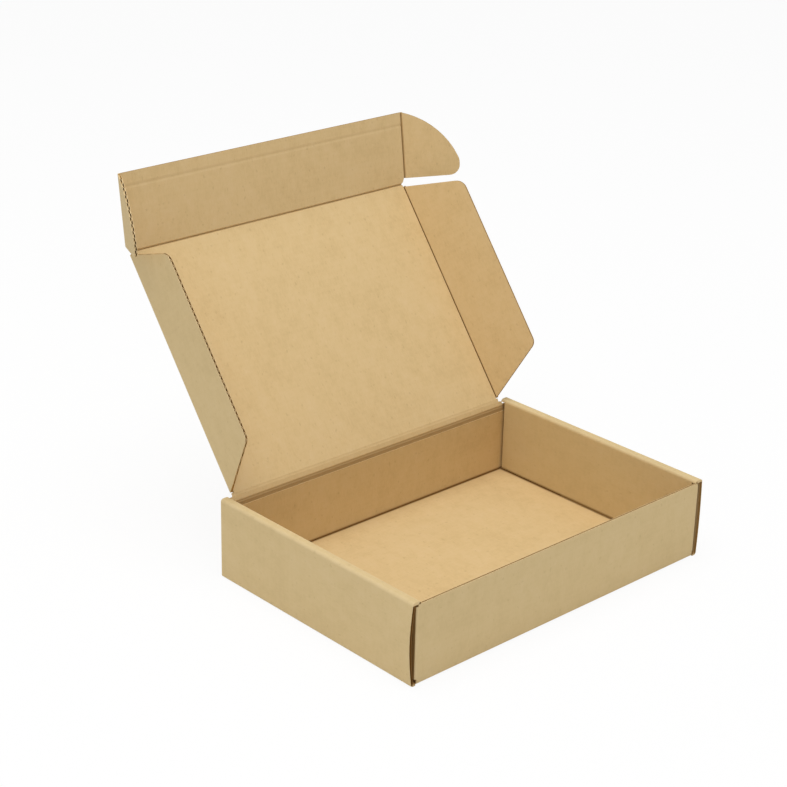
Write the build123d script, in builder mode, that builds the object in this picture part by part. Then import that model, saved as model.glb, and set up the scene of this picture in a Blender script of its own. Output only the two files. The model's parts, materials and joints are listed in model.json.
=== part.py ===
from build123d import *
from math import cos, radians, sin
import os

# Folding mailer box in corrugated board, standing open: a tray with rolled-over side walls,
# and a lid with two wings and a tuck flap that carries two ears.
# Millimetres. X runs along the hinge, Y from front to back, Z up. The origin is at the middle of the base.

# Board and tray
board = 1.5                # thickness of the corrugated board
inner_length = 200.0       # between the inner side walls
inner_depth = 141.5        # between the front wall and the back wall
ridge_height = 45.2        # base to the top of the rolled side walls
front_gap = 0.3            # front wall's top to the underside of the ridges
layer_gap = 0.4            # air between the layers of a side wall
fold_radius = 1.2          # outside radius of a folded edge
end_gap = 1.2              # inner side wall to the front and back walls
floor_gap = 0.8            # inner side wall to the floor
tab_width = 44.0           # locking tab under each inner side wall
tab_lift = 0.2             # tab end above the base
slot_gap = 0.25            # tab to the sides of its slot
flap_length = 48.0         # corner flap held between the layers of a side wall
flap_lift = 1.0            # corner flap to the floor
flap_drop = 1.2            # front or back wall's top to the corner flap's top
flap_taper = 6.0           # slant at the free end of a corner flap
relief_radius = 0.9        # hole where the cut beside a front or back wall ends
relief_height = 4.0        # its centre above the base

# Lid creases: two folds with a narrow strip between them
crease_drop = 4.0          # ridge's top to the lower crease
strip_height = 3.8         # lower crease to upper crease
crease_gap = 0.3           # slit left at each crease
closed_share = 0.5         # part of the closing right angle that the lower crease takes
right_angle = 90.0         # degrees between the back wall and the closed lid

# Lid, wings, tuck flap and ears
tuck_gap = 0.3             # closed tuck flap to the front wall
tuck_floor_gap = 0.4       # closed tuck flap to the floor
side_gap = 0.25            # closed ear to the inner side wall, and wing to ear
wing_width = 37.2
wing_root_rear = 1.6       # wing's crease, measured from the upper lid crease
wing_root_front = 1.6      # wing's crease, measured back from the tuck crease
wing_rear = 20.2           # outer edge, measured from the upper lid crease
wing_front = 15.4          # outer edge, measured back from the tuck crease
wing_rear_round = 5.0
wing_front_round = 7.0
ear_width = 32.8
ear_root = 3.4             # ear's lower edge at its crease, measured from the tuck crease
ear_rise = 0.2             # how far that edge slants away towards its tip
ear_nose = 9.0             # straight end of the ear
ear_round = 6.0
ear_bulge_share = 0.62     # how far the ear's curved edge stands out, as part of its chord's box

# How far each fold stands open in the rest pose, in degrees
strip_lean = 19.0          # strip from upright, leaning back
lid_angle = 127.6          # lid from closed
tuck_angle = 30.3          # tuck flap from the lid's plane
left_wing_angle = 84.5     # wings from the lid's plane
right_wing_angle = 70.5
left_ear_angle = 64.0      # ears from the tuck flap's plane
right_ear_angle = 41.0

# Sizes that follow from those above
half_inner = inner_length / 2
flap_inner = half_inner + board + layer_gap
flap_outer = flap_inner + board
wall_inner = flap_outer + layer_gap
half_length = wall_inner + board
half_depth = inner_depth / 2 + board
front_height = ridge_height - board - front_gap
crease_height = ridge_height - crease_drop
crease_cut = board / 2 + crease_gap
closed_lean = radians(right_angle * closed_share)
lid_depth = inner_depth - tuck_gap - strip_height * sin(closed_lean)
tuck_height = crease_height + strip_height * cos(closed_lean) - board - tuck_floor_gap
ear_crease = half_inner - side_gap - board / 2
wing_crease = ear_crease - board - side_gap
lid_half = wing_crease - crease_cut
tuck_half = ear_crease - crease_cut
strip_half = wing_crease + board / 2
wing_root_end = lid_depth - wing_root_front

# Directions and fold lines in the rest pose
across = Vector(1, 0, 0)


def swung(angle):
    """Direction a panel on the back wall points in, and its inner side, at an angle from closed."""
    turn = radians(angle)
    return Vector(0, -cos(turn), sin(turn)), Vector(0, -sin(turn), -cos(turn))


def folded(flat, inward, angle):
    """Direction of a flap folded by an angle from flat towards the inward side."""
    turn = radians(angle)
    return flat * cos(turn) + inward * sin(turn)


strip_way, strip_in = swung(right_angle + strip_lean)
lid_way, lid_in = swung(lid_angle)
tuck_way, tuck_in = swung(lid_angle - tuck_angle)
lower_crease = Vector(0, half_depth - board / 2, crease_height)
upper_crease = lower_crease + strip_way * strip_height
tuck_crease = upper_crease + lid_way * lid_depth


def panel(low, high, mode=Mode.ADD):
    """Upright or level panel of the tray between two opposite corners."""
    with BuildSketch(Plane.XY.offset(low[2])) as footprint:
        with BuildLine():
            Polyline((low[0], low[1]), (high[0], low[1]), (high[0], high[1]), (low[0], high[1]), close=True)
        make_face()
    extrude(footprint.sketch, amount=high[2] - low[2], mode=mode)


def sheet(plane, corners, rounded=()):
    """Flat board centred on a plane, with some of its corners rounded: (corner number, radius)."""
    with BuildSketch(plane) as outline:
        with BuildLine():
            Polyline(*corners, close=True)
        make_face()
        for number, radius in rounded:
            fillet(outline.vertices().sort_by_distance(Vector(*corners[number]))[0], radius)
    extrude(outline.sketch, amount=board / 2, both=True)


def fold_edge(start, way, length):
    """Rounded edge of a board along its fold line."""
    with BuildSketch(Plane(origin=start, z_dir=way)) as section:
        Circle(board / 2)
    extrude(section.sketch, amount=length)


def hinged_across(crease, half_width, inward, corners):
    """Panel whose fold line runs along X."""
    sheet(Plane(origin=crease, x_dir=across, z_dir=inward), corners)
    fold_edge(crease - across * half_width, across, half_width * 2)


def wing(side, fold):
    """Side wing of the lid. Its outline runs along the lid and out from the wing's crease."""
    out = folded(across * side, lid_in, fold)
    root = upper_crease + across * (side * wing_crease)
    outline = [
        (wing_root_rear, 0),
        (wing_rear, wing_width),
        (lid_depth - wing_front, wing_width),
        (wing_root_end, 0),
    ]
    sheet(Plane(origin=root, x_dir=lid_way, z_dir=lid_way.cross(out)), outline,
          ((1, wing_rear_round), (2, wing_front_round)))
    fold_edge(root + lid_way * wing_root_rear, lid_way, wing_root_end - wing_root_rear)


def ear(side, fold):
    """Ear of the tuck flap: a slanted lower edge, a short straight nose and a curved free edge."""
    out = folded(across * side, tuck_in, fold)
    root = tuck_crease + across * (side * ear_crease)
    foot = (ear_root + ear_rise, ear_width)
    nose = (foot[0] + ear_nose, ear_width)
    rise = tuck_height - nose[0]
    bulge = (nose[0] + rise * ear_bulge_share, ear_width * ear_bulge_share)
    with BuildSketch(Plane(origin=root, x_dir=tuck_way, z_dir=tuck_way.cross(out))) as outline:
        with BuildLine():
            Polyline((tuck_height, 0), (ear_root, 0), foot, nose)
            ThreePointArc(nose, bulge, (tuck_height, 0))
        make_face()
        fillet(outline.vertices().sort_by_distance(Vector(*foot))[0], ear_round)
        fillet(outline.vertices().sort_by_distance(Vector(*nose))[0], ear_round)
    extrude(outline.sketch, amount=board / 2, both=True)
    fold_edge(root + tuck_way * ear_root, tuck_way, tuck_height - ear_root)


with BuildPart() as tray:
    # Floor, front wall, back wall, outer side walls and their ridges
    panel((-half_length, -half_depth, 0), (half_length, half_depth, board))
    panel((-flap_outer, -half_depth, 0), (flap_outer, board - half_depth, front_height))
    panel((-flap_outer, half_depth - board, 0), (flap_outer, half_depth, crease_height - crease_cut))
    for side in (-1, 1):
        panel((min(side * wall_inner, side * half_length), -half_depth, 0),
              (max(side * wall_inner, side * half_length), half_depth, ridge_height))
        panel((min(side * half_inner, side * half_length), -half_depth, ridge_height - board),
              (max(side * half_inner, side * half_length), half_depth, ridge_height))
    # Rounded folds along the base, the ridges and the corners
    long_edges = tray.edges().filter_by(Axis.Y)
    base_edges = tray.edges().filter_by(Axis.X).group_by(Axis.Z)[0] + long_edges.group_by(Axis.Z)[0]
    corner_edges = [edge for edge in tray.edges().filter_by(Axis.Z)
                    if abs(abs(edge.center().X) - flap_outer) < layer_gap / 2
                    and abs(abs(edge.center().Y) - half_depth) < layer_gap / 2]
    fillet(long_edges.group_by(Axis.Z)[-1] + base_edges + corner_edges, fold_radius)
    for side in (-1, 1):
        # Inner side wall with its locking tab in a slot of the floor
        inner_low, inner_high = sorted((side * half_inner, side * (half_inner + board)))
        wall_end = inner_depth / 2 - end_gap
        panel((inner_low - slot_gap, -tab_width / 2 - slot_gap, 0),
              (inner_high + slot_gap, tab_width / 2 + slot_gap, board), Mode.SUBTRACT)
        panel((inner_low, -wall_end, board + floor_gap), (inner_high, wall_end, ridge_height - fold_radius))
        panel((inner_low, -tab_width / 2, tab_lift), (inner_high, tab_width / 2, board + floor_gap))
        # Corner flaps between the two layers, folded in from the front and back walls
        for end, wall_top in ((-1, front_height), (1, crease_height - crease_cut)):
            flap_top = wall_top - flap_drop
            flap_end = end * (half_depth - flap_length)
            sheet(Plane.YZ.offset(side * (flap_inner + flap_outer) / 2), [
                (end * half_depth, board + flap_lift),
                (flap_end, board + flap_lift + flap_taper),
                (flap_end, flap_top - flap_taper),
                (end * half_depth, flap_top),
            ])
    # Relief holes at the lower ends of the corner cuts
    for end in (-1, 1):
        with BuildSketch(Plane.XZ.offset(-end * half_depth)):
            with Locations((-flap_outer, relief_height), (flap_outer, relief_height)):
                Circle(relief_radius)
        extrude(amount=end * board, mode=Mode.SUBTRACT)

with BuildPart() as lid_strip:
    strip_top = strip_height - crease_cut
    hinged_across(lower_crease, strip_half, strip_in,
                  [(-strip_half, 0), (strip_half, 0), (strip_half, strip_top), (-strip_half, strip_top)])

with BuildPart() as lid_panel:
    lid_front = lid_depth - crease_cut
    hinged_across(upper_crease, lid_half, lid_in,
                  [(-lid_half, 0), (lid_half, 0), (lid_half, lid_front), (-lid_half, lid_front)])

with BuildPart() as tuck_flap:
    hinged_across(tuck_crease, lid_half, tuck_in,
                  [(-lid_half, 0), (lid_half, 0), (tuck_half, ear_root), (tuck_half, tuck_height),
                   (-tuck_half, tuck_height), (-tuck_half, ear_root)])

with BuildPart() as left_wing:
    wing(-1, left_wing_angle)

with BuildPart() as right_wing:
    wing(1, right_wing_angle)

with BuildPart() as left_ear:
    ear(-1, left_ear_angle)

with BuildPart() as right_ear:
    ear(1, right_ear_angle)

os.makedirs("parts", exist_ok=True)
tray.part.label = "tray"
export_step(tray.part, "parts/tray.step")
lid_strip.part.label = "lid_strip"
export_step(lid_strip.part, "parts/lid_strip.step")
lid_panel.part.label = "lid_panel"
export_step(lid_panel.part, "parts/lid_panel.step")
tuck_flap.part.label = "tuck_flap"
export_step(tuck_flap.part, "parts/tuck_flap.step")
left_wing.part.label = "left_wing"
export_step(left_wing.part, "parts/left_wing.step")
right_wing.part.label = "right_wing"
export_step(right_wing.part, "parts/right_wing.step")
left_ear.part.label = "left_ear"
export_step(left_ear.part, "parts/left_ear.step")
right_ear.part.label = "right_ear"
export_step(right_ear.part, "parts/right_ear.step")
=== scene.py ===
import json
import math

import bmesh
import bpy
import numpy as np
from mathutils import Matrix, Vector


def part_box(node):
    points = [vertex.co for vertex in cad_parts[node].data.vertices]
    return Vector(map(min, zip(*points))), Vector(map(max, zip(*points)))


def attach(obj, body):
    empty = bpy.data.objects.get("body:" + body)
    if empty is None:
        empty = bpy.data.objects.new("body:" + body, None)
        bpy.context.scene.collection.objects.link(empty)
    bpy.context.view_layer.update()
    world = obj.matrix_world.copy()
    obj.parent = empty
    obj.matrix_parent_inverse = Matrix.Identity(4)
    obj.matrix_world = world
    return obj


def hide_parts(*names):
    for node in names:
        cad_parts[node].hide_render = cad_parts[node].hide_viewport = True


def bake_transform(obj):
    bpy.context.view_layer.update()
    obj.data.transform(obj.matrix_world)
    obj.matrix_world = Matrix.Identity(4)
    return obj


# Looks of a folding mailer box in brown corrugated board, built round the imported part.
# Metres, in the part's own frame: X along the creases, Y from front to back, Z up.
# Each panel is a hollow board: two paper liners with the wavy middle sheet showing at the cut edges.
# "Inside" is the side of the sheet that faces into the closed box.

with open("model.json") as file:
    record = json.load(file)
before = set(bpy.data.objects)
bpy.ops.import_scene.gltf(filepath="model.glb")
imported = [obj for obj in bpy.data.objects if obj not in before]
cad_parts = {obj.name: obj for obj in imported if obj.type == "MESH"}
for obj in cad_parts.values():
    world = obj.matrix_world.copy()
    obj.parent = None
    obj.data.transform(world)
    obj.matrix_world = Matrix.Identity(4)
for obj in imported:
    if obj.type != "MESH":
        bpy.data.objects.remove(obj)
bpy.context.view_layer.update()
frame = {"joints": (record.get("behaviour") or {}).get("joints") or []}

mm = 0.001

# Sizes of the board
board = 1.5 * mm
half = board / 2
liner = 0.24 * mm            # thickness of each paper liner
medium = 0.34 * mm           # thickness of the wavy middle sheet
flute_pitch = 3.2 * mm       # one wave of the middle sheet
flute_steepness = 1.7        # above 1 the crests are flattened where they are glued to the liners
wave_steps = 10              # points along one wave
hollow_depth = 1.7 * mm      # how far a cut edge is open between the liners
core_set_back = 0.06 * mm    # middle sheet behind the liners' edge
wing_set_back = 0.45 * mm    # the same at the wings, where the liners hide more of it
side_set_back = 1.3 * mm     # the same at the side walls, which are cut along a flute
bend_radius = 0.85 * mm      # of the sheet's middle, at a fold of the tray
bend_steps = 6               # straight steps in a bend
bend_ease = 0.3 * mm         # short flat beside each bend, so that its shading stays there
bend_wear = 3                # how strongly a bend shows as rubbed paper
sharp_angle = math.radians(32)  # edges that turn by more than this stay sharp
merge_digits = 7             # points that are the same to this many decimals of a metre are one

# Sizes of the tray
front_gap = 0.3 * mm         # front wall's top to the underside of the ridges
layer_gap = 0.4 * mm         # between the layers of a side wall
end_gap = 1.2 * mm           # inner side wall to the front and back walls
floor_gap = 0.5 * mm         # foot of an inner side wall above the floor
foot_slack = half / 9        # takes in the points right at that foot
tab_width = 44 * mm          # locking tab at that foot
tab_lift = 0.2 * mm          # its end above the base
slot_gap = 0.25 * mm         # round it in the floor's slot
flap_length = 48 * mm        # corner flap between the layers of a side wall
flap_drop = 1.2 * mm         # its top below the front wall's
flap_foot = 3.2 * mm         # its lower edge above the base
flap_taper_share = 0.3       # how much narrower it is at its free end
corner_bend = 0.4 * mm       # bend of the front or back wall into a flap, tight and crushed inside
crushed_reach = 1.2 * corner_bend  # how far the crushing goes on beside it
crushed_skin = 0.9 * corner_bend   # inner face above the sheet's middle there
corner_gap = 0.8 * mm        # slit between the floor and the front wall's end
corner_set_in = 0.6 * mm     # front wall's ends, in from the line of the corner flaps
corner_slant = 6 * mm        # length over which a corner flap makes that up
slant_round = corner_slant / 3
bow_length = 34 * mm         # how far back the front edge of an outer side wall bows out
left_bow, right_bow = 1.9 * mm, 0.6 * mm
bow_steps = 8
floor_fold_depth = 0.5 * mm  # pressed line along the fold between the floor and the front or back wall
bead_drop = 2.8 * mm         # lower crease to the bead that its tool pressed up on the back wall
bead_width = 0.5 * mm
bead_rise = 0.16 * mm
band_depth = 0.12 * mm       # pressed band between the bead and the lower crease

# Sizes of the lid and its flaps
crease_gap = 0.3 * mm
crease_cut = half + crease_gap  # fold line to the end of a panel
strip_overrun = 1.6 * mm     # strip's ends past the part's own, which closes the tray's back corners
wing_width = 37.2 * mm
wing_root_rear = 1.6 * mm    # wing's ends at its crease, in from those of the lid
wing_root_front = 1.6 * mm
wing_rear = 20.2 * mm        # the same at its free edge
wing_front = 15.4 * mm
wing_rear_round = 5 * mm
wing_front_round = 7 * mm
ear_width = 32.8 * mm
ear_root = 3.4 * mm          # ear's lower end at its crease, above the tuck flap's
ear_rise = 0.2 * mm          # how much its lower edge slants up
ear_nose = 9 * mm            # straight stretch of its free edge
ear_round = 6 * mm
ear_bulge_share = 0.62       # how full its round edge is
arc_steps = 4 * bend_steps   # points of that edge
root_points = 5              # points at each end of a flap's edge, among which it leaves the crease
open_fade = 3                # a flap's open edge fades out at the crease over this many times its depth
flute_depth = 2 * hollow_depth  # middle sheet of a flap, in from its edge
press_line_share = 0.83      # faint line pressed into the tuck flap, from its crease to its free edge
press_line_width = 2.4 * mm
press_line_depth = 0.26 * mm

# Sizes of the creases
wide_lip, narrow_lip = 1.0 * mm, 0.6 * mm       # half the width of a pressed fold
deep_groove, shallow_groove = 0.8 * mm, 0.34 * mm
lip_share, groove_share = 0.5, 0.55             # where a groove's flank has its bend, and how deep
back_lip_share, back_groove_share = 0.25, 0.8   # the same on the outer side

# Tones of the paper, from 0 to 1: painted shade in the folds, creases, gaps and slits, darker pressed paper
# on the back wall's band, and pale where it is rubbed
painted_shade_width = 1.3 * mm        # width of the painted shade beside the folds of the floor and at the inner walls' feet
painted_shade_strength = 1.0
flap_crease_shade = 0.8         # painted shade inside the creases of the wings and ears
# painted shade inside the tuck flap's crease
tuck_crease_shade = 0.45
band_press_and_shade = 0.55             # pressed band on the back wall: darker pressed paper and painted shade
wall_end_shade = 0.5          # painted shade at the ends of the inner side walls, in the gap to the end walls
slit_shade = 0.95             # painted shade on the corner flap's face inside the slit at the corner, and on the outer wall's face there
press_line_tone = 0.12
press_line_pale = 0.4        # lower side of the tuck flap's pressed line

# Kraft paper. Scales are along the flutes, over them, and through the sheet.
broad_scale = (28, 22, 1)
cloud_scale = (150, 105, 1)
fibre_scale = (1000, 280, 1)
grain_scale = (1900, 1600, 1)
speck_scale = (430, 310, 1)
plain_rough, cloud_rough, fine_rough = 0.55, 0.62, 0.6  # how ragged each noise is
broad_share, grain_share = 0.8, 0.7             # strength beside the clouds, and beside the fibres
rib_tone, rib_height = 0.16, 2.5                # ribs over the flutes, in colour and in relief
fleck_start, fleck_full = 0.3, 0.55             # swing of the speckle at which a fleck begins and is full
dark_fleck_and_shade_tint = (0.5, 0.38, 0.24, 1)             # turns a paper's shade into the colour of its dark flecks and of painted shade
rubbed_middle, rubbed_swing = 0.75, 0.5         # how unevenly a fold is rubbed
matt, fibre_matt, cloud_matt = 0.78, 0.08, 0.05  # roughness, and its swing with the fibres and clouds
fibre_relief, fine_relief = 0.6, 0.5            # fibres beside the grain, and both beside the clouds
relief = 0.03 * mm                              # height of the paper's relief
relief_strength = 0.5
liner_gloss, cut_gloss = 0.25, 0.0              # none on cut edges and the middle sheet

# The stage
floor_reach = 12.0           # half of its side
floor_paint = (0.95, 0.95, 0.95, 1)
floor_rough = 0.9
floor_white = 0.9            # share of plain white in the floor as the camera sees it
dome_strength = 0.51
lamp_size, lamp_distance, lamp_power = 1.4, 1.6, 16.6
lamp_way = (-0.17, -0.05, 0.98)  # from the box to the lamp

# The photograph's camera
azimuth, elevation, roll = (math.radians(angle) for angle in (-43.142, 22.952, 1.3765))
distance = 1.0511            # to the middle of the view
aim_right, aim_up = -36.75 * mm, 91.34 * mm     # middle of the view, from the part's origin
sensor_width, focal_length = 36, 90.51          # millimetres, as the camera takes them

# Names of the finishes, in the order of the material slots of each piece
finishes = ("kraft_inside", "kraft_outside", "fluting_paper", "cut_liner")
inside, outside, fluting, cut = range(len(finishes))

# Surfaces of a hollow board, from its inner face to its outer one
inner_face, inner_back, outer_back, outer_face = range(4)

# Fold lines and directions, from the part's joints
joints = {joint["name"]: joint for joint in frame["joints"]}
across = np.array([1.0, 0.0, 0.0])


def unit(vector):
    return vector / np.linalg.norm(vector)


def fold_line(name):
    return np.array(joints[name]["pos_m"], float)


def fold_axis(name):
    return unit(np.array(joints[name]["axis"], float))


def fold_angle(name):
    """How far a flap stands folded from flat in the rest pose."""
    return math.radians(joints[name]["range_deg"][1])


def inner_side(way):
    """Inner side of a panel that runs in a direction in the YZ plane."""
    return np.array([0.0, -way[2], way[1]])


lower_line = fold_line("lower_lid_crease")
upper_line = fold_line("upper_lid_crease")
tuck_line = fold_line("tuck_crease")
wall_way = np.array([0.0, 0.0, 1.0])
strip_way = unit(upper_line - lower_line)
lid_way = fold_axis("right_wing_crease")
tuck_way = fold_axis("right_ear_crease")
strip_height = np.linalg.norm(upper_line - lower_line)
lid_depth = np.linalg.norm(tuck_line - upper_line)
wing_crease = fold_line("right_wing_crease")[0]
ear_crease = fold_line("right_ear_crease")[0]
lid_half = wing_crease - crease_cut
tuck_half = ear_crease - crease_cut
strip_half = wing_crease + half + strip_overrun

half_length, half_depth, ridge_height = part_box("tray")[1]
front_height = ridge_height - board - front_gap
back_height = lower_line[2] - crease_cut
tuck_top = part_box("tuck_flap")[1].z
tuck_height = (tuck_top - tuck_line[2] - half * abs(tuck_way[1])) / tuck_way[2]
wall_middle = half_length - half
inner_middle = half_length - 3 * board - 2 * layer_gap + half
flap_middle = half_length - board - layer_gap - half
front_middle = half_depth - half
wall_half = flap_middle - corner_set_in
shoulder_start = inner_middle - half
outer_from = wall_middle - half / 2  # the side roll is an outer wall beyond this
inner_to = inner_middle + half / 2   # and an inner wall, or the floor, up to this
flat_level = half * 1.001            # height of the flat floor's middle
floor_level = half * 1.1             # the same with the foot of its bends


# Meshes

def add_object(name, data):
    made = bpy.data.objects.new(name, data)
    bpy.context.scene.collection.objects.link(made)
    return made


def add_grid(work, points):
    """Vertices for a grid of points, as rows of vertices."""
    return [[work.verts.new(point) for point in row] for row in points]


def cells_of(live):
    return [(r, c) for r in range(live.shape[0]) for c in range(live.shape[1]) if live[r, c]]


def sides_of(live):
    """Each side of a cell: its two end points, the cells on both sides of it, and whether these are live."""
    rows, cols = live.shape
    padded = np.pad(live, 1)
    for r in range(rows + 1):
        for c in range(cols):
            yield (r, c), (r, c + 1), (r - 1, c), (r, c), padded[r, c + 1], padded[r + 1, c + 1]
    for r in range(rows):
        for c in range(cols + 1):
            yield (r, c), (r + 1, c), (r, c - 1), (r, c), padded[r + 1, c], padded[r + 1, c + 1]


class Piece:
    """A mesh under construction, with the place of each point on the sheet and its wear and painted shade."""

    def __init__(self, name):
        self.name = name
        self.work = bmesh.new()
        self.place = self.work.verts.layers.float_vector.new("board_place")

    def face(self, corners, finish):
        corners = list(dict.fromkeys(corners))
        if len(corners) > 2 and self.work.faces.get(corners) is None:
            self.work.faces.new(corners).material_index = finish

    def mark(self, grid, along, over, wear):
        """Notes where the points of a grid lie on the sheet: along the flutes, over them, and their wear and
        painted shade.

        Wear above 0 is rubbed pale. Below 0 it is dark: painted shade in the folds, creases, gaps and slits,
        with darker pressed paper on the back wall's band, and a faint dark line along the tuck flap's pressed
        line.
        """
        shape = (len(grid), len(grid[0]))
        notes = np.stack([np.broadcast_to(n, shape) for n in (along, over, wear)], -1)
        for row, note_row in zip(grid, notes):
            for vertex, note in zip(row, note_row):
                vertex[self.place] = note

    def panel(self, middle, inward, along, over, live=None, hollow=None, dip=0.0, wear=0.0, inner_wear_and_shade=None):
        """Hollow board round a grid of points on the sheet's middle.

        live says which cells exist and hollow which of them are open between the liners.
        dip presses the inner liner in. wear is the rubbed wear and painted shade of the board, and
        inner_wear_and_shade that of the inner liner where it differs.
        """
        rows, cols = middle.shape[0] - 1, middle.shape[1] - 1
        live = np.ones((rows, cols), bool) if live is None else live
        hollow = np.zeros((rows, cols), bool) if hollow is None else hollow & live
        inner_wear_and_shade = wear if inner_wear_and_shade is None else inner_wear_and_shade
        layers = []
        for height, wear_and_shade in ((half - dip, inner_wear_and_shade), (half - liner - dip, inner_wear_and_shade),
                             (liner - half, wear), (-half, wear)):
            grid = add_grid(self.work, middle + inward * np.broadcast_to(height, middle.shape[:2])[..., None])
            self.mark(grid, along, over, wear_and_shade)
            layers.append(grid)

        def quad(layer, r, c):
            grid = layers[layer]
            return grid[r][c], grid[r][c + 1], grid[r + 1][c + 1], grid[r + 1][c]

        def wall(a, b, top, bottom, finish):
            high, low = layers[top], layers[bottom]
            self.face([high[a[0]][a[1]], high[b[0]][b[1]], low[b[0]][b[1]], low[a[0]][a[1]]], finish)

        for r, c in cells_of(live):
            self.face(quad(inner_face, r, c), inside)
            self.face(quad(outer_face, r, c), outside)
            if hollow[r, c]:
                self.face(quad(inner_back, r, c), fluting)
                self.face(quad(outer_back, r, c), fluting)
        for a, b, one, other, has_one, has_other in sides_of(live):
            if has_one and has_other and hollow[one] != hollow[other]:
                wall(a, b, inner_back, outer_back, fluting)
            elif has_one != has_other and hollow[one if has_one else other]:
                wall(a, b, inner_face, inner_back, cut)
                wall(a, b, outer_back, outer_face, cut)
            elif has_one != has_other:
                wall(a, b, inner_face, outer_face, cut)

    def flutes(self, middle, inward, along, over):
        """Wavy middle sheet where a cut edge shows it. over is the distance across the flutes."""
        over = np.broadcast_to(over, middle.shape[:2])
        wave = np.clip(flute_steepness * np.sin(2 * math.pi * over / flute_pitch), -1, 1)
        swing = (half - liner - medium / 2) * wave
        top = add_grid(self.work, middle + inward * (swing + medium / 2)[..., None])
        bottom = add_grid(self.work, middle + inward * (swing - medium / 2)[..., None])
        for grid in (top, bottom):
            self.mark(grid, along, over, 0.0)
        live = np.ones((middle.shape[0] - 1, middle.shape[1] - 1), bool)
        for r, c in cells_of(live):
            for grid in (top, bottom):
                self.face([grid[r][c], grid[r][c + 1], grid[r + 1][c + 1], grid[r + 1][c]], fluting)
        for a, b, _, _, has_one, has_other in sides_of(live):
            if has_one != has_other:
                self.face([top[a[0]][a[1]], top[b[0]][b[1]], bottom[b[0]][b[1]], bottom[a[0]][a[1]]], cut)

    def outline_panel(self, outline, to_space, inward):
        """Flat hollow board with a free outline, from one end of its crease round to the other.

        Points of the outline are (along the flutes, over them). The crease's side stays closed.
        """
        inset = inset_line(outline, hollow_depth)
        heights = (half, half - liner, liner - half, -half)
        last = len(outline) - 1
        rims, cores = [], []
        for height in heights:
            rim = add_grid(self.work, (to_space(outline) + inward * height)[None])
            core = add_grid(self.work, (to_space(inset) + inward * height)[None, 1:last])
            self.mark(rim, outline[None, :, 0], outline[None, :, 1], 0.0)
            self.mark(core, inset[None, 1:last, 0], inset[None, 1:last, 1], 0.0)
            rims.append(rim[0])
            cores.append([rim[0][0], *core[0], rim[0][last]])
        self.face(cores[inner_face], inside)
        self.face(cores[outer_face], outside)
        strips = ((rims, inner_face, inner_back, cut), (rims, outer_back, outer_face, cut),
                  (cores, inner_back, outer_back, fluting))
        for i in range(last):
            j = i + 1
            for layer, finish in enumerate((inside, fluting, fluting, outside)):
                self.face([rims[layer][i], rims[layer][j], cores[layer][j], cores[layer][i]], finish)
            for loops, top, bottom, finish in strips:
                self.face([loops[top][i], loops[top][j], loops[bottom][j], loops[bottom][i]], finish)
        for layer in range(outer_face):
            self.face([rims[layer][0], rims[layer][last], rims[layer + 1][last], rims[layer + 1][0]], cut)

    def finish(self, *nodes):
        """Turns the work into an object of the scene that stands for its CAD nodes."""
        loose = [vertex for vertex in self.work.verts if not vertex.link_faces]
        bmesh.ops.delete(self.work, geom=loose, context="VERTS")
        bmesh.ops.recalc_face_normals(self.work, faces=self.work.faces)
        mesh = bpy.data.meshes.new(self.name)
        self.work.to_mesh(mesh)
        self.work.free()
        mesh.shade_smooth()
        mesh.set_sharp_from_angle(angle=sharp_angle)
        for finish in finishes:
            mesh.materials.append(bpy.data.materials[finish])
        made = add_object(self.name, mesh)
        if nodes:
            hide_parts(*nodes)
        return made


def inset_line(outline, depth):
    """A free edge moved in by a depth, square to its sides, and by less close to the crease at its ends."""
    step = np.diff(outline, axis=0)
    step /= np.linalg.norm(step, axis=1)[:, None]
    side = np.stack([-step[:, 1], step[:, 0]], 1)
    before, after = np.vstack([side[:1], side]), np.vstack([side, side[-1:]])
    spread = (before + after) / (1 + (before * after).sum(1))[:, None]
    fade = np.clip((outline[:, :1] - crease_cut) / (open_fade * depth), 0.0, 1.0)
    return outline + spread * depth * fade


def rounded(corners, radii, ease=0.0):
    """Line through corners in a plane, with an arc of its own radius at each inner corner.

    ease adds a point on the straight line at that distance before and after each arc.
    """
    corners = np.array(corners, float)
    line = [corners[0]]
    for before, corner, after, radius in zip(corners, corners[1:], corners[2:], radii):
        back, ahead = unit(before - corner), unit(after - corner)
        opening = math.acos(np.clip(back @ ahead, -1, 1))
        reach = radius / math.tan(opening / 2)
        centre = corner + unit(back + ahead) * (radius / math.sin(opening / 2))
        start, end = corner + back * reach - centre, corner + ahead * reach - centre
        turn = math.pi - opening
        if ease:
            line.append(corner + back * (reach + ease))
        for share in np.linspace(0, 1, bend_steps + 1):
            arc = (start * math.sin((1 - share) * turn) + end * math.sin(share * turn)) / math.sin(turn)
            line.append(centre + arc)
        if ease:
            line.append(corner + ahead * (reach + ease))
    line.append(corners[-1])
    return np.array(line)


def run_length(line):
    """Distance along a line at each of its points."""
    return np.concatenate([[0], np.cumsum(np.linalg.norm(np.diff(line, axis=0), axis=1))])


def left_normals(line):
    """Normal to the left of a line at each of its points."""
    step = np.gradient(line, axis=0)
    step /= np.linalg.norm(step, axis=1)[:, None]
    return np.stack([-step[:, 1], step[:, 0]], 1)


def turning(normal):
    """How much a line turns at each of its points."""
    return np.abs(np.gradient(normal[:, 0])) + np.abs(np.gradient(normal[:, 1]))


def between(values):
    """Middles between neighbouring values."""
    return (values[1:] + values[:-1]) / 2


def with_points(line, places):
    """A line with more points, where a straight stretch passes given distances along it."""
    at = run_length(line)
    places = np.array(sorted(set(np.round(at, merge_digits)) | set(np.round(places, merge_digits))))
    return np.stack([np.interp(places, at, line[:, k]) for k in range(2)], 1), places


def fine_steps(low, high):
    """Places from low to high, close enough to draw the flutes' waves."""
    return np.linspace(low, high, max(3, math.ceil((high - low) / flute_pitch * wave_steps) + 1))


# The tray

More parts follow.
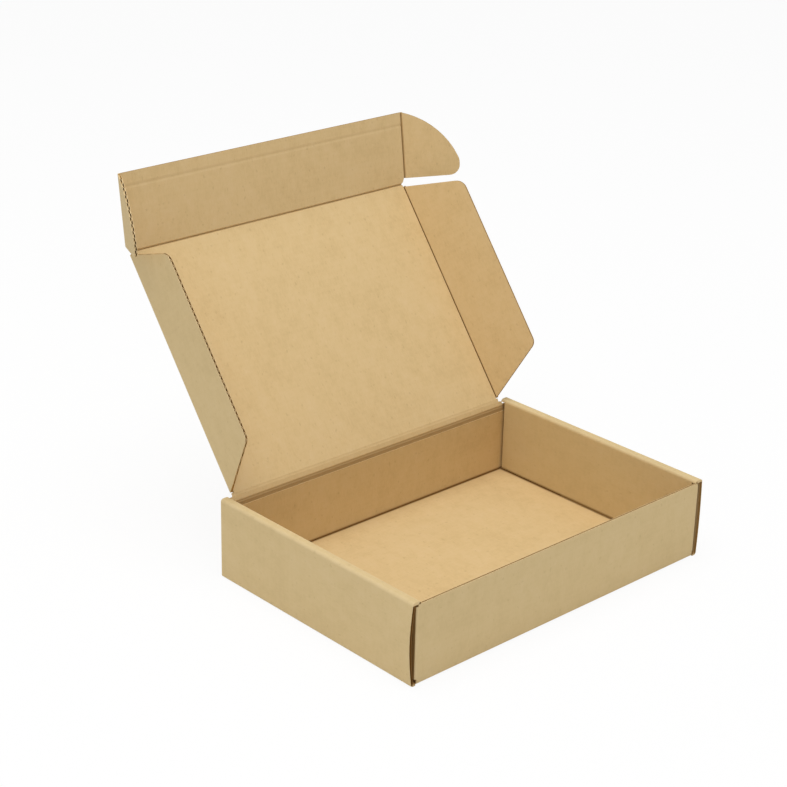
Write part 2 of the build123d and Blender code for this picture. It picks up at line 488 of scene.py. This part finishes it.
def bow_runs(line, at):
    """Stretches of the side roll's line that are the two outer side walls."""
    upright = (line[:, 1] > board) & (line[:, 1] < ridge_height - board)
    for side in (-1, 1):
        wall = at[upright & (line[:, 0] * side > outer_from)]
        yield wall.min(), wall.max()


def bowed(line, rows):
    """Grid of the side roll, with the front edges of the outer side walls bowed out a little."""
    grid = np.zeros((len(rows), len(line), 3))
    grid[..., 0], grid[..., 1], grid[..., 2] = line[:, 0], rows[:, None], line[:, 1]
    near = np.clip(1 - (rows + half_depth) / bow_length, 0, 1)[:, None]
    outer = np.abs(line[:, 0]) > outer_from
    height = np.sin(math.pi * np.clip(line[:, 1] / ridge_height, 0, 1)) * outer
    amount = np.where(line[:, 0] < 0, -left_bow, right_bow)
    grid[..., 0] += amount * height * near * near * (3 - 2 * near)
    return grid


def facing(normal, grid):
    """Inner side of the side roll at each point of a grid of it."""
    inward = np.zeros_like(grid)
    inward[..., 0], inward[..., 2] = normal[:, 0], normal[:, 1]
    return inward


def side_roll(piece):
    """Floor, outer side walls, ridges, inner side walls and their tabs: one run of board across the box."""
    ridge = ridge_height - half
    wall_foot = board + floor_gap
    wall_end = front_middle - half - end_gap
    slot_half = half + slot_gap
    slot_end = tab_width / 2 + slot_gap
    floor_corner = wall_half - corner_bend + corner_gap
    fold_start = half_depth - half - bend_radius
    painted_shade_start = inner_middle - slot_half - painted_shade_width

    # Line of the roll, seen from the front
    corners = [(-inner_middle, tab_lift), (-inner_middle, ridge), (-wall_middle, ridge), (-wall_middle, half),
               (wall_middle, half), (wall_middle, ridge), (inner_middle, ridge), (inner_middle, tab_lift)]
    line = rounded(corners, [bend_radius] * (len(corners) - 2), bend_ease)
    at = run_length(line)
    floor_lines = [-floor_corner, floor_corner]
    for side in (-1, 1):
        floor_lines += [side * x for x in (inner_middle - slot_half, inner_middle + slot_half, painted_shade_start)]
    floor_start = np.argmax((line[:, 1] < flat_level) & (np.abs(line[:, 0]) > flap_middle))
    places = [at[floor_start] + x - line[floor_start, 0] for x in floor_lines]
    for height in (wall_foot, wall_foot + painted_shade_width):
        places += [height - tab_lift, at[-1] - height + tab_lift]
    for low, high in bow_runs(line, at):
        places += list(np.linspace(low, high, bow_steps + 1))
    line, at = with_points(line, places)
    normal = left_normals(line)
    out, up = np.abs(line[:, 0]), line[:, 1]

    # Rows of the roll, from front to back
    rows = [half_depth, half_depth - hollow_depth, fold_start, wall_end, wall_end - hollow_depth,
            slot_end, tab_width / 2, fold_start - bend_ease, fold_start - painted_shade_width]
    bow_rows = -half_depth + bow_length * np.arange(1, bow_steps + 1) / bow_steps
    rows = np.array(sorted([-y for y in rows] + rows + list(bow_rows)))
    grid = bowed(line, rows)

    # Cells that are board, and those of them that are open at a cut edge
    x, z = np.abs(between(line[:, 0])), between(line[:, 1])
    y = np.abs(between(rows))[:, None]
    floor = z < floor_level
    inner_wall = (x < inner_to) & (z > floor_level)
    below_ridge = z < ridge - bend_radius
    live = np.ones((len(rows) - 1, len(line) - 1), bool)
    live &= ~(inner_wall & below_ridge & (y > wall_end))
    live &= ~(inner_wall & (z < wall_foot) & (y > tab_width / 2))
    live &= ~(floor & (x < floor_corner) & (y > fold_start))
    live &= ~(floor & (np.abs(x - inner_middle) < slot_half) & (y < slot_end))
    hollow = ~floor & below_ridge & (y > half_depth - hollow_depth)
    hollow |= inner_wall & (y > wall_end - hollow_depth)

    # Rubbed bends; painted shade beside the floor's folds, at the inner walls' feet and ends, and in the
    # slits
    on_floor = (up < floor_level) & (out < half_length - board)
    on_inner = (out < inner_to) & ~on_floor
    rubbed = np.clip(turning(normal) * bend_wear, 0, 1)
    foot_near = np.clip((wall_foot + painted_shade_width - up) / painted_shade_width, 0, 1)
    # painted shade at the inner walls' feet, in the gap above the floor
    wear = np.where(on_inner & (foot_near > 0), -painted_shade_strength * foot_near, rubbed)
    at_end = (np.abs(rows) == wall_end)[:, None] & on_inner & (up < ridge - bend_radius)
    # painted shade at the inner walls' ends, in the gap to the end walls
    wear = np.where(at_end, -wall_end_shade, wear)
    # painted shade on the floor beside its folds and under the inner walls
    fold_near = np.clip((np.abs(rows) - fold_start + painted_shade_width) / (painted_shade_width - bend_ease), 0, 1)[:, None]
    wall_near = np.clip((out - painted_shade_start) / painted_shade_width, 0, 1)
    floor_painted_shade = -painted_shade_strength * np.maximum(fold_near, wall_near)
    # painted shade on the outer walls' inner faces at their cut edges, in the corner slits
    in_slit = (np.abs(rows) == half_depth)[:, None] & (out > outer_from)
    inner_wear_and_shade = np.where(on_floor, floor_painted_shade, np.where(in_slit, -slit_shade, wear))
    piece.panel(grid, facing(normal, grid), at, rows[:, None], live, hollow, wear=wear, inner_wear_and_shade=inner_wear_and_shade)

    # Middle sheet at the front and back edges of the walls
    upright = (up > half + bend_radius) & (up < ridge - bend_radius / 2)
    for side in (-1, 1):
        on_side = upright & (line[:, 0] * side > 0)
        outer_part = on_side & (out > inner_to)
        inner_part = on_side & (out < inner_to) & (up > wall_foot - foot_slack)
        for end in (-1, 1):
            for part, edge in ((outer_part, half_depth), (inner_part, wall_end)):
                shown = end * np.linspace(edge - hollow_depth, edge - side_set_back, wave_steps)
                middle = bowed(line[part], shown)
                piece.flutes(middle, facing(normal[part], middle), at[part], shown[:, None])


def end_wall(piece, height, turn, bead=None):
    """Front wall (turn 1) or back wall (turn -1), folded up from the floor, with its two corner flaps.

    bead is the height of the bead below a pressed band on the wall's inner face. A wall that is lower
    than its flaps, for the lid, has a shoulder at each end.
    """
    flap_end = half_depth - flap_length
    flap_top = front_height - flap_drop
    slant_end = corner_slant - front_middle
    wall_edge = wall_half - corner_bend
    top_half = shoulder_start if height < flap_top else wall_edge

    # Line of the wall and its flaps, seen from above
    corners = [(-flap_middle, -flap_end), (-flap_middle, slant_end), (-wall_half, -front_middle),
               (wall_half, -front_middle), (flap_middle, slant_end), (flap_middle, -flap_end)]
    line = rounded(corners, [slant_round, corner_bend, corner_bend, slant_round], bend_ease)
    line, at = with_points(line, run_length(line)[-1] / 2 + np.array([-top_half, top_half]))
    normal = left_normals(line)
    out = np.abs(line[:, 0])

    # Rows of the wall, from its fold at the floor upwards
    turns = np.linspace(0, math.pi / 2, bend_steps + 1)
    rise = half + bend_radius * (1 - np.cos(turns))
    fold_top = rise[-1]
    heights = [fold_top + bend_ease, fold_top + painted_shade_width, flap_foot, flap_top,
               height - hollow_depth, height]
    if bead:
        heights += [bead - bead_width, bead, bead + bead_width]
    heights = np.concatenate([rise, sorted(heights)])
    straight = len(heights) - len(turns)
    back_off = np.concatenate([bend_radius * (1 - np.sin(turns)), np.zeros(straight)])
    tilt = np.concatenate([turns, np.full(straight, math.pi / 2)])
    grid = np.zeros((len(heights), len(line), 3))
    grid[..., :2] = line + normal * back_off[:, None, None]
    reach = np.clip((line[:, 1] + front_middle - bend_radius) / (flap_length - bend_radius), 0, 1)
    middle_height = (flap_foot + flap_top) / 2
    grid[..., 2] = middle_height + (heights[:, None] - middle_height) * (1 - flap_taper_share * reach)
    inward = np.zeros_like(grid)
    inward[..., :2] = normal * np.sin(tilt)[:, None, None]
    inward[..., 2] = np.cos(tilt)[:, None]
    grid[..., :2] *= turn
    inward[..., :2] *= turn

    # Cells that are board, and those of them that are open at the top
    x = np.abs(between(line[:, 0]))
    level = between(heights)[:, None]
    wall, low_wall = x < wall_edge, x < top_half
    live = np.where(low_wall, level < height, (level < flap_top) & (wall | (level > flap_foot)))
    hollow = low_wall & (level > height - hollow_depth)

    # Rubbed bends; painted shade in the slits, beside the floor's fold and over the pressed band; a paler
    # bead; the pressed and crushed places of the inner face
    wear = np.clip(turning(normal) * bend_wear + (np.sin(2 * tilt) ** 2)[:, None], 0, 1)
    in_slit = line[:, 1] > corner_bend / 2 - front_middle
    # painted shade on the corner flap's face inside the slit
    wear = np.where(in_slit, -slit_shade, wear)
    dip = np.sin(2 * tilt) * floor_fold_depth
    # painted shade in the fold between the floor and the wall, and just above it
    tone = -painted_shade_strength * np.clip((fold_top + painted_shade_width - heights) / (painted_shade_width - bend_ease), 0, 1)
    if bead:
        on_bead, on_band = heights == bead, heights > bead
        dip = np.where(on_bead, -bead_rise, np.where(on_band, band_depth, dip))
        # paler bead; the band above it is darker, as pressed paper and painted shade
        tone = np.where(on_bead, 1.0, np.where(on_band, -band_press_and_shade, tone))
    on_wall = out < wall_half - corner_bend / 2
    at_corner = (out > wall_half - crushed_reach) & (line[:, 1] < crushed_reach - front_middle)
    dip = dip[:, None] * on_wall + (half - crushed_skin) * at_corner
    inner_wear_and_shade = np.where(on_wall, tone[:, None], wear)
    piece.panel(grid, inward, at, heights[:, None], live, hollow, dip, wear, inner_wear_and_shade)

    # Middle sheet at the top edge
    shown = np.linspace(height - hollow_depth, height - core_set_back, wave_steps)
    ends = np.array([-1, 1]) * (top_half - core_set_back)
    middle = np.zeros((len(shown), 2, 3))
    middle[..., 0], middle[..., 1], middle[..., 2] = ends * turn, -front_middle * turn, shown[:, None]
    sideways = np.zeros_like(middle)
    sideways[..., 1] = turn
    piece.flutes(middle, sideways, ends, shown[:, None])


def make_tray():
    piece = Piece("tray_board")
    side_roll(piece)
    end_wall(piece, front_height, 1)
    end_wall(piece, back_height, -1, lower_line[2] - bead_drop)
    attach(piece.finish("tray"), "tray")


# The lid and its flaps

def lid_sheet(name, node, body, start, way, rows, half_widths, dip=0.0, tone=0.0, open_edges=()):
    """Panel whose flutes run along X, with its rows given as distances from its crease."""
    piece = Piece(name)
    rows, half_widths = np.array(rows), np.array(half_widths)
    shares = np.array([-1, 1])
    if "ends" in open_edges:
        inner_share = 1 - hollow_depth / half_widths.max()
        shares = np.array([-1, -inner_share, inner_share, 1])
    along = half_widths[:, None] * shares
    grid = start + along[..., None] * across + rows[:, None, None] * way
    inward = np.broadcast_to(inner_side(way), grid.shape)
    hollow = np.zeros((len(rows) - 1, len(shares) - 1), bool)
    if "ends" in open_edges:
        hollow[:, [0, -1]] = True
    if "front" in open_edges:
        hollow[-1] = True
        shown = np.linspace(rows[-2], rows[-1] - core_set_back, wave_steps)
        width = half_widths[-1] - core_set_back
        reach = np.array([-width, width])
        middle = start + reach[None, :, None] * across + shown[:, None, None] * way
        piece.flutes(middle, np.broadcast_to(inner_side(way), middle.shape), reach, shown[:, None])
    dip, tone = (np.broadcast_to(value, rows.shape)[:, None] for value in (dip, tone))
    piece.panel(grid, inward, along, rows[:, None], hollow=hollow, dip=dip, inner_wear_and_shade=tone)
    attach(piece.finish(node), body)


def make_lid():
    lid_sheet("lid_strip_board", "lid_strip", "lid_strip", lower_line, strip_way,
              [crease_cut, strip_height - crease_cut], [strip_half] * 2, open_edges=("ends",))
    lid_sheet("lid_board", "lid_panel", "lid", upper_line, lid_way,
              [crease_cut, lid_depth - crease_cut], [lid_half] * 2)
    press = tuck_height * press_line_share
    side = press_line_width / 2
    rows = [crease_cut, ear_root, press - side - bend_ease, press - side, press, press + side,
            press + side + bend_ease, tuck_height - hollow_depth, tuck_height]
    widths = np.interp(rows, [0, ear_root], [lid_half, tuck_half])
    pressed = np.array(rows) == press
    beside = np.array(rows) == press - side
    dip = pressed * press_line_depth
    tone = beside * press_line_pale - pressed * press_line_tone
    lid_sheet("tuck_board", "tuck_flap", "tuck", tuck_line, tuck_way, rows, widths, dip, tone, ("front",))


def flap_way(side, way, angle):
    """Direction out along a folded flap, and its inner side."""
    inward = inner_side(way)
    out = across * (side * math.cos(angle)) + inward * math.sin(angle)
    return out, inward * math.cos(angle) - across * (side * math.sin(angle))


def flap_board(node, side, way, edge, set_back):
    """Wing or ear on its crease. Its free edge is given as points (out from the crease, along it)."""
    piece = Piece(f"{node}_board")
    crease_name = f"{node}_crease"
    out, inward = flap_way(side, way, fold_angle(crease_name))
    start = fold_line(crease_name)
    edge = np.array(edge)
    inner = edge[edge[:, 0] > crease_cut]
    roots = edge[:root_points], edge[::-1][:root_points]
    low, high = (np.interp(crease_cut, root[:, 0], root[:, 1]) for root in roots)
    outline = np.vstack([[crease_cut, low], inner, [crease_cut, high]])

    def to_space(points):
        return start + points[:, :1] * out + points[:, 1:] * way

    piece.outline_panel(outline, to_space, inward)
    over = fine_steps(low + set_back, high - set_back)
    reach = np.interp(over, outline[:, 1], outline[:, 0])
    along = np.stack([np.maximum(reach - flute_depth, crease_cut), reach - set_back], 1)
    along[:, 1] = np.maximum(along[:, 1], along[:, 0])
    middle = start + along[..., None] * out + over[:, None, None] * way
    piece.flutes(middle, np.broadcast_to(inward, middle.shape), along, over[:, None])
    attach(piece.finish(node), node)


def wing_edge():
    corners = [(0, wing_root_rear), (wing_width, wing_rear), (wing_width, lid_depth - wing_front),
               (0, lid_depth - wing_root_front)]
    return rounded(corners, [wing_rear_round, wing_front_round])


def ear_edge():
    """Slanted lower edge, short straight nose, and an arc back to the crease at the tuck flap's free edge."""
    foot = np.array([ear_width, ear_root + ear_rise])
    nose = foot + np.array([0, ear_nose])
    tip = np.array([0, tuck_height])
    bulge = nose + (tip - nose) * np.array([1 - ear_bulge_share, ear_bulge_share])
    centre, radius = circle_through(nose, bulge, tip)
    ends = [math.atan2(*(point - centre)[::-1]) for point in (nose, tip)]
    turns = np.linspace(*ends, arc_steps)
    arc = [centre + radius * np.array([math.cos(turn), math.sin(turn)]) for turn in turns]
    joined = bend_steps // 2
    start = rounded([(0, ear_root), foot, nose, arc[joined]], [ear_round, ear_round])
    return np.vstack([start, arc[joined + 1:]])


def circle_through(a, b, c):
    """Centre and radius of the circle through three points of a plane."""
    rows = np.array([b - a, c - b])
    middles = np.array([(a + b) / 2, (b + c) / 2])
    centre = np.linalg.solve(rows, (rows * middles).sum(1))
    return centre, np.linalg.norm(a - centre)


def make_flaps():
    for side, name in ((-1, "left"), (1, "right")):
        flap_board(f"{name}_wing", side, lid_way, wing_edge(), wing_set_back)
        flap_board(f"{name}_ear", side, tuck_way, ear_edge(), core_set_back)


# The creases

def crease(name, joint, toward, away, inners, ends, lip, groove, pressed, back_groove=0.0, along_flutes=True,
           band=False):
    """Pressed fold that joins two panels.

    toward and away are the directions into and out of the fold, inners the inner sides of the two panels,
    and ends the two ends of the fold along its axis. pressed is the strength of the painted shade on its
    inner side, and with band that painted shade goes on over the panel before the fold.
    """
    piece = Piece(name)
    centre = fold_line(joint)
    axis = across if along_flutes else unit(np.cross(inners[0], toward))
    middle_way, middle_in = unit(toward + away), unit(inners[0] + inners[1])
    before, on_fold, after = (toward, inners[0]), (middle_way, middle_in), (away, inners[1])

    # Points of the profile: distance from the fold line, height over the sheet's middle, panel and finish
    front = [(crease_cut, half, inside), (lip, half, inside),
             (lip * lip_share, half - groove * groove_share, inside)]
    back = [(crease_cut, -half, outside), (lip, -half, outside),
            (lip * back_lip_share, -half + back_groove * back_groove_share, outside)]
    ring = [(-d, h, before, f) for d, h, f in front] + [(0, half - groove, on_fold, inside)]
    ring += [(d, h, after, f) for d, h, f in reversed(front)]
    ring += [(d, h, after, f) for d, h, f in back] + [(0, -half + back_groove, on_fold, outside)]
    ring += [(-d, h, before, f) for d, h, f in reversed(back)]
    loops = []
    for end in ends:
        loop = []
        for d, h, (way, inward), finish in ring:
            vertex = piece.work.verts.new(centre + axis * end + way * d + inward * h)
            wear_and_shade = max(0.0, 1 - abs(d) / lip)
            # the inner side of the fold gets painted shade in its groove instead of rubbed wear
            if finish == inside:
                wear_and_shade = -pressed * min(1.0, max(0.0, 1 - (d if band else abs(d)) / lip))
            vertex[piece.place] = (end, d, wear_and_shade) if along_flutes else (d, end, wear_and_shade)
            loop.append(vertex)
        loops.append(loop)
    count = len(ring)
    for i in range(count):
        j = (i + 1) % count
        finish = ring[i][3] if ring[i][3] == ring[j][3] else fluting
        piece.face([loops[0][i], loops[0][j], loops[1][j], loops[1][i]], finish)
    piece.face(loops[0], cut)
    piece.face(loops[1], cut)
    made = piece.finish()
    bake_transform(made)


def make_creases():
    faint_groove = shallow_groove / 2
    for name, ways, reach, groove, pressed in (
            ("lower_lid", (wall_way, strip_way), strip_half, shallow_groove, band_press_and_shade),
            ("upper_lid", (strip_way, lid_way), wing_crease, faint_groove, 0.0)):
        inners = [inner_side(way) for way in ways]
        crease(f"{name}_fold", f"{name}_crease", *ways, inners, (-reach, reach),
               narrow_lip, groove, pressed, faint_groove, band=True)
    inners = [inner_side(lid_way), inner_side(tuck_way)]
    crease("tuck_fold", "tuck_crease", lid_way, tuck_way, inners, (-lid_half, lid_half),
           wide_lip, deep_groove, tuck_crease_shade)
    for side, name in ((-1, "left"), (1, "right")):
        for flap, way, ends in (("wing", lid_way, (wing_root_rear, lid_depth - wing_root_front)),
                                ("ear", tuck_way, (ear_root, tuck_height))):
            out, inward = flap_way(side, way, fold_angle(f"{name}_{flap}_crease"))
            inners = [inner_side(way), inward]
            axis = unit(np.cross(inners[0], across * side))
            ends = [end * math.copysign(1, axis @ way) for end in ends]
            crease(f"{name}_{flap}_fold", f"{name}_{flap}_crease", across * side, out, inners, ends,
                   wide_lip, deep_groove, flap_crease_shade, along_flutes=False)


# Finishes

def new_group(name, inputs, outputs):
    """Empty node group with its sockets: (name, kind, default value)."""
    group = bpy.data.node_groups.new(name, "ShaderNodeTree")
    for label, kind, value in inputs:
        socket = group.interface.new_socket(label, in_out="INPUT", socket_type=kind)
        socket.default_value = value
    for label, kind in outputs:
        group.interface.new_socket(label, in_out="OUTPUT", socket_type=kind)
    return group, group.nodes.new("NodeGroupInput"), group.nodes.new("NodeGroupOutput")


class Wiring:
    """Short words for adding nodes to a tree and joining them."""

    # Places of the colour sockets on a mix node, whose names aren't unique
    mix_share, mix_a, mix_b, mix_result = 0, 6, 7, 2

    def __init__(self, tree):
        self.tree = tree

    def node(self, kind, **settings):
        made = self.tree.nodes.new(kind)
        for key, value in settings.items():
            setattr(made, key, value)
        return made

    def join(self, source, target):
        if isinstance(source, (int, float, tuple)):
            target.default_value = source
        else:
            self.tree.links.new(source, target)

    def math(self, operation, *values, clamp=False):
        made = self.node("ShaderNodeMath", operation=operation, use_clamp=clamp)
        for value, socket in zip(values, made.inputs):
            self.join(value, socket)
        return made.outputs[0]

    def mix(self, share, a, b, blend="MIX"):
        made = self.node("ShaderNodeMix", data_type="RGBA", blend_type=blend)
        self.join(share, made.inputs[self.mix_share])
        self.join(a, made.inputs[self.mix_a])
        self.join(b, made.inputs[self.mix_b])
        return made.outputs[self.mix_result]

    def noise(self, place, stretch, detail, rough=plain_rough):
        """Noise from -1 to 1 on the sheet, with its scale along the flutes, over them, and through it."""
        scaled = self.node("ShaderNodeVectorMath", operation="MULTIPLY")
        self.join(place, scaled.inputs[0])
        scaled.inputs[1].default_value = stretch
        made = self.node("ShaderNodeTexNoise", noise_dimensions="3D")
        self.join(scaled.outputs[0], made.inputs["Vector"])
        made.inputs["Scale"].default_value = 1
        made.inputs["Detail"].default_value = detail
        made.inputs["Roughness"].default_value = rough
        return self.math("MULTIPLY_ADD", made.outputs["Fac"], 2, -1)

    def ramp(self, value, low, high):
        """Smooth step from 0 at low to 1 at high."""
        made = self.node("ShaderNodeMapRange", clamp=True, interpolation_type="SMOOTHSTEP")
        self.join(value, made.inputs["Value"])
        made.inputs["From Min"].default_value = low
        made.inputs["From Max"].default_value = high
        return made.outputs["Result"]

    def seen(self):
        """1 for what the camera sees, also in a glossy or clear surface, and 0 for light on its way."""
        rays = self.node("ShaderNodeLightPath")
        shown = self.math("MAXIMUM", rays.outputs["Is Camera Ray"], rays.outputs["Is Glossy Ray"])
        return self.math("MAXIMUM", shown, rays.outputs["Is Transmission Ray"])


def kraft_paper_group():
    """Kraft paper: clouds, fibres, dark and pale flecks, faint ribs of the flutes, rubbed folds and painted
    shade.
    """
    group, given, out = new_group("kraft_paper", [
        ("Paper", "NodeSocketColor", (0.6, 0.4, 0.2, 1)),
        ("Shade", "NodeSocketColor", (0.5, 0.3, 0.15, 1)),
        ("Pale", "NodeSocketColor", (0.7, 0.5, 0.3, 1)),
        ("Clouds", "NodeSocketFloat", 0.3),
        ("Fibres", "NodeSocketFloat", 0.3),
        ("Flecks", "NodeSocketFloat", 0.3),
        ("Ribs", "NodeSocketFloat", 0.3),
        ("Wear", "NodeSocketFloat", 0.3),
    ], [("Color", "NodeSocketColor"), ("Roughness", "NodeSocketFloat"), ("Height", "NodeSocketFloat")])
    wire = Wiring(group)
    place = wire.node("ShaderNodeAttribute", attribute_name="board_place").outputs["Vector"]
    split = wire.node("ShaderNodeSeparateXYZ")
    wire.join(place, split.inputs[0])
    over, wear_and_shade = split.outputs["Y"], split.outputs["Z"]
    flat = wire.node("ShaderNodeVectorMath", operation="MULTIPLY")
    wire.join(place, flat.inputs[0])
    flat.inputs[1].default_value = (1, 1, 0)
    place = flat.outputs[0]
    broad = wire.noise(place, broad_scale, 3)
    cloud = wire.noise(place, cloud_scale, 5, cloud_rough)
    fibre = wire.noise(place, fibre_scale, 3, fine_rough)
    grain = wire.noise(place, grain_scale, 2, fine_rough)
    speck = wire.noise(place, speck_scale, 1)
    wave = wire.math("SINE", wire.math("MULTIPLY", over, 2 * math.pi / flute_pitch))
    paper, shade, light = given.outputs["Paper"], given.outputs["Shade"], given.outputs["Pale"]

    # Clouds, fibres and ribs
    clouds = wire.math("MULTIPLY_ADD", broad, broad_share, cloud)
    fibres = wire.math("MULTIPLY_ADD", grain, grain_share, fibre)
    ribs = wire.math("MULTIPLY", given.outputs["Ribs"], rib_tone)
    shading = wire.math("MULTIPLY", clouds, given.outputs["Clouds"])
    shading = wire.math("MULTIPLY_ADD", fibres, given.outputs["Fibres"], shading)
    shading = wire.math("MULTIPLY_ADD", wave, ribs, shading)
    color = wire.mix(wire.math("MULTIPLY", shading, -1, clamp=True), paper, shade)
    color = wire.mix(wire.math("MULTIPLY", shading, 1, clamp=True), color, light)

    # Flecks, painted shade where the wear is below 0, and rubbed folds
    # colour of the dark flecks and of the painted shade
    pressed = wire.mix(1.0, shade, dark_fleck_and_shade_tint, "MULTIPLY")
    dark_fleck = wire.math("MULTIPLY", wire.ramp(speck, fleck_start, fleck_full), given.outputs["Flecks"])
    color = wire.mix(dark_fleck, color, pressed)
    pale_fleck = wire.math("MULTIPLY", wire.ramp(speck, -fleck_start, -fleck_full), given.outputs["Flecks"])
    color = wire.mix(pale_fleck, color, light)
    # painted shade where the wear is below 0
    color = wire.mix(wire.math("MULTIPLY", wear_and_shade, -1, clamp=True), color, pressed)
    uneven = wire.math("MULTIPLY_ADD", cloud, rubbed_swing, rubbed_middle, clamp=True)
    rubbed = wire.math("MULTIPLY", uneven, wire.math("MAXIMUM", wear_and_shade, 0))
    color = wire.mix(wire.math("MULTIPLY", rubbed, given.outputs["Wear"]), color, light)
    wire.join(color, out.inputs["Color"])

    # Roughness and relief
    rough = wire.math("MULTIPLY_ADD", fibre, fibre_matt, matt)
    rough = wire.math("MULTIPLY_ADD", cloud, cloud_matt, rough, clamp=True)
    wire.join(rough, out.inputs["Roughness"])
    fine = wire.math("MULTIPLY_ADD", fibre, fibre_relief, grain)
    height = wire.math("MULTIPLY_ADD", fine, fine_relief, cloud)
    ribs = wire.math("MULTIPLY", given.outputs["Ribs"], rib_height)
    height = wire.math("MULTIPLY_ADD", wave, ribs, height)
    wire.join(height, out.inputs["Height"])
    return group


def paper_finish(name, group, gloss, **values):
    """One finish of the board from the shared kraft paper."""
    material = bpy.data.materials.new(name)
    material.use_nodes = True
    tree = material.node_tree
    wire = Wiring(tree)
    shader = tree.nodes["Principled BSDF"]
    made = wire.node("ShaderNodeGroup", node_tree=group)
    for key, value in values.items():
        made.inputs[key.capitalize()].default_value = value
    bump = wire.node("ShaderNodeBump")
    bump.inputs["Strength"].default_value = relief_strength
    bump.inputs["Distance"].default_value = relief
    wire.join(made.outputs["Height"], bump.inputs["Height"])
    wire.join(made.outputs["Color"], shader.inputs["Base Color"])
    wire.join(made.outputs["Roughness"], shader.inputs["Roughness"])
    wire.join(bump.outputs["Normal"], shader.inputs["Normal"])
    shader.inputs["Specular IOR Level"].default_value = gloss


def make_finishes():
    group = kraft_paper_group()
    paper_finish("kraft_inside", group, liner_gloss,
                 paper=(0.70, 0.51, 0.255, 1), shade=(0.52, 0.355, 0.155, 1), pale=(0.78, 0.59, 0.345, 1),
                 clouds=0.44, fibres=0.3, flecks=0.16, ribs=0.14, wear=0.5)
    paper_finish("kraft_outside", group, liner_gloss,
                 paper=(0.665, 0.505, 0.26, 1), shade=(0.50, 0.365, 0.17, 1), pale=(0.75, 0.59, 0.35, 1),
                 clouds=0.36, fibres=0.22, flecks=0.12, ribs=0.12, wear=0.35)
    paper_finish("fluting_paper", group, cut_gloss,
                 paper=(0.44, 0.25, 0.075, 1), shade=(0.3, 0.16, 0.045, 1), pale=(0.55, 0.34, 0.125, 1),
                 clouds=0.2, fibres=0.4, flecks=0.3, ribs=0.0, wear=0.0)
    paper_finish("cut_liner", group, cut_gloss,
                 paper=(0.72, 0.54, 0.29, 1), shade=(0.52, 0.36, 0.17, 1), pale=(0.8, 0.63, 0.39, 1),
                 clouds=0.2, fibres=0.5, flecks=0.4, ribs=0.0, wear=0.0)


# Floor, light and camera

def make_floor():
    """Pale floor that keeps the shadow and looks nearly white to the camera."""
    mesh = bpy.data.meshes.new("floor")
    corners = [(x * floor_reach, y * floor_reach, 0) for x, y in ((-1, -1), (1, -1), (1, 1), (-1, 1))]
    mesh.from_pydata(corners, [], [(0, 1, 2, 3)])
    floor = add_object("floor", mesh)
    material = bpy.data.materials.new("pale_floor")
    material.use_nodes = True
    wire = Wiring(material.node_tree)
    nodes = material.node_tree.nodes
    paint = nodes["Principled BSDF"]
    paint.inputs["Base Color"].default_value = floor_paint
    paint.inputs["Roughness"].default_value = floor_rough
    white = wire.node("ShaderNodeEmission")
    mix = wire.node("ShaderNodeMixShader")
    wire.join(wire.math("MULTIPLY", wire.seen(), floor_white), mix.inputs[0])
    wire.join(paint.outputs[0], mix.inputs[1])
    wire.join(white.outputs[0], mix.inputs[2])
    wire.join(mix.outputs[0], nodes["Material Output"].inputs["Surface"])
    mesh.materials.append(material)


def make_light():
    """Even light from all round, white where the camera sees it, and a wide soft lamp overhead."""
    world = bpy.data.worlds.new("studio")
    bpy.context.scene.world = world
    world.use_nodes = True
    wire = Wiring(world.node_tree)
    back = world.node_tree.nodes["Background"]
    back.inputs["Color"].default_value = (1, 1, 1, 1)
    strength = wire.math("MULTIPLY_ADD", wire.seen(), 1 - dome_strength, dome_strength)
    wire.join(strength, back.inputs["Strength"])
    key = bpy.data.lights.new("soft_key", "AREA")
    key.shape = "DISK"
    key.size = lamp_size
    key.energy = lamp_power
    lamp = add_object("soft_key", key)
    way = Vector(lamp_way).normalized()
    lamp.location = Vector((0, 0, ridge_height)) + way * lamp_distance
    lamp.rotation_euler = way.to_track_quat("Z", "Y").to_euler()


def make_camera():
    """Camera at the photograph's angle."""
    level = math.cos(elevation)
    back = Vector((math.sin(azimuth) * level, -math.cos(azimuth) * level, math.sin(elevation)))
    right = (-back).cross(Vector((0, 0, 1))).normalized()
    up = right.cross(-back)
    right, up = right * math.cos(roll) + up * math.sin(roll), up * math.cos(roll) - right * math.sin(roll)
    lens = bpy.data.cameras.new("camera")
    lens.sensor_width = sensor_width
    lens.lens = focal_length
    camera = add_object("camera", lens)
    place = right * aim_right + up * aim_up + back * distance
    camera.matrix_world = Matrix.Translation(place) @ Matrix((right, up, back)).transposed().to_4x4()
    bpy.context.scene.camera = camera


bpy.context.scene.view_settings.view_transform = "Standard"
make_finishes()
make_tray()
make_lid()
make_flaps()
make_creases()
make_floor()
make_light()
make_camera()
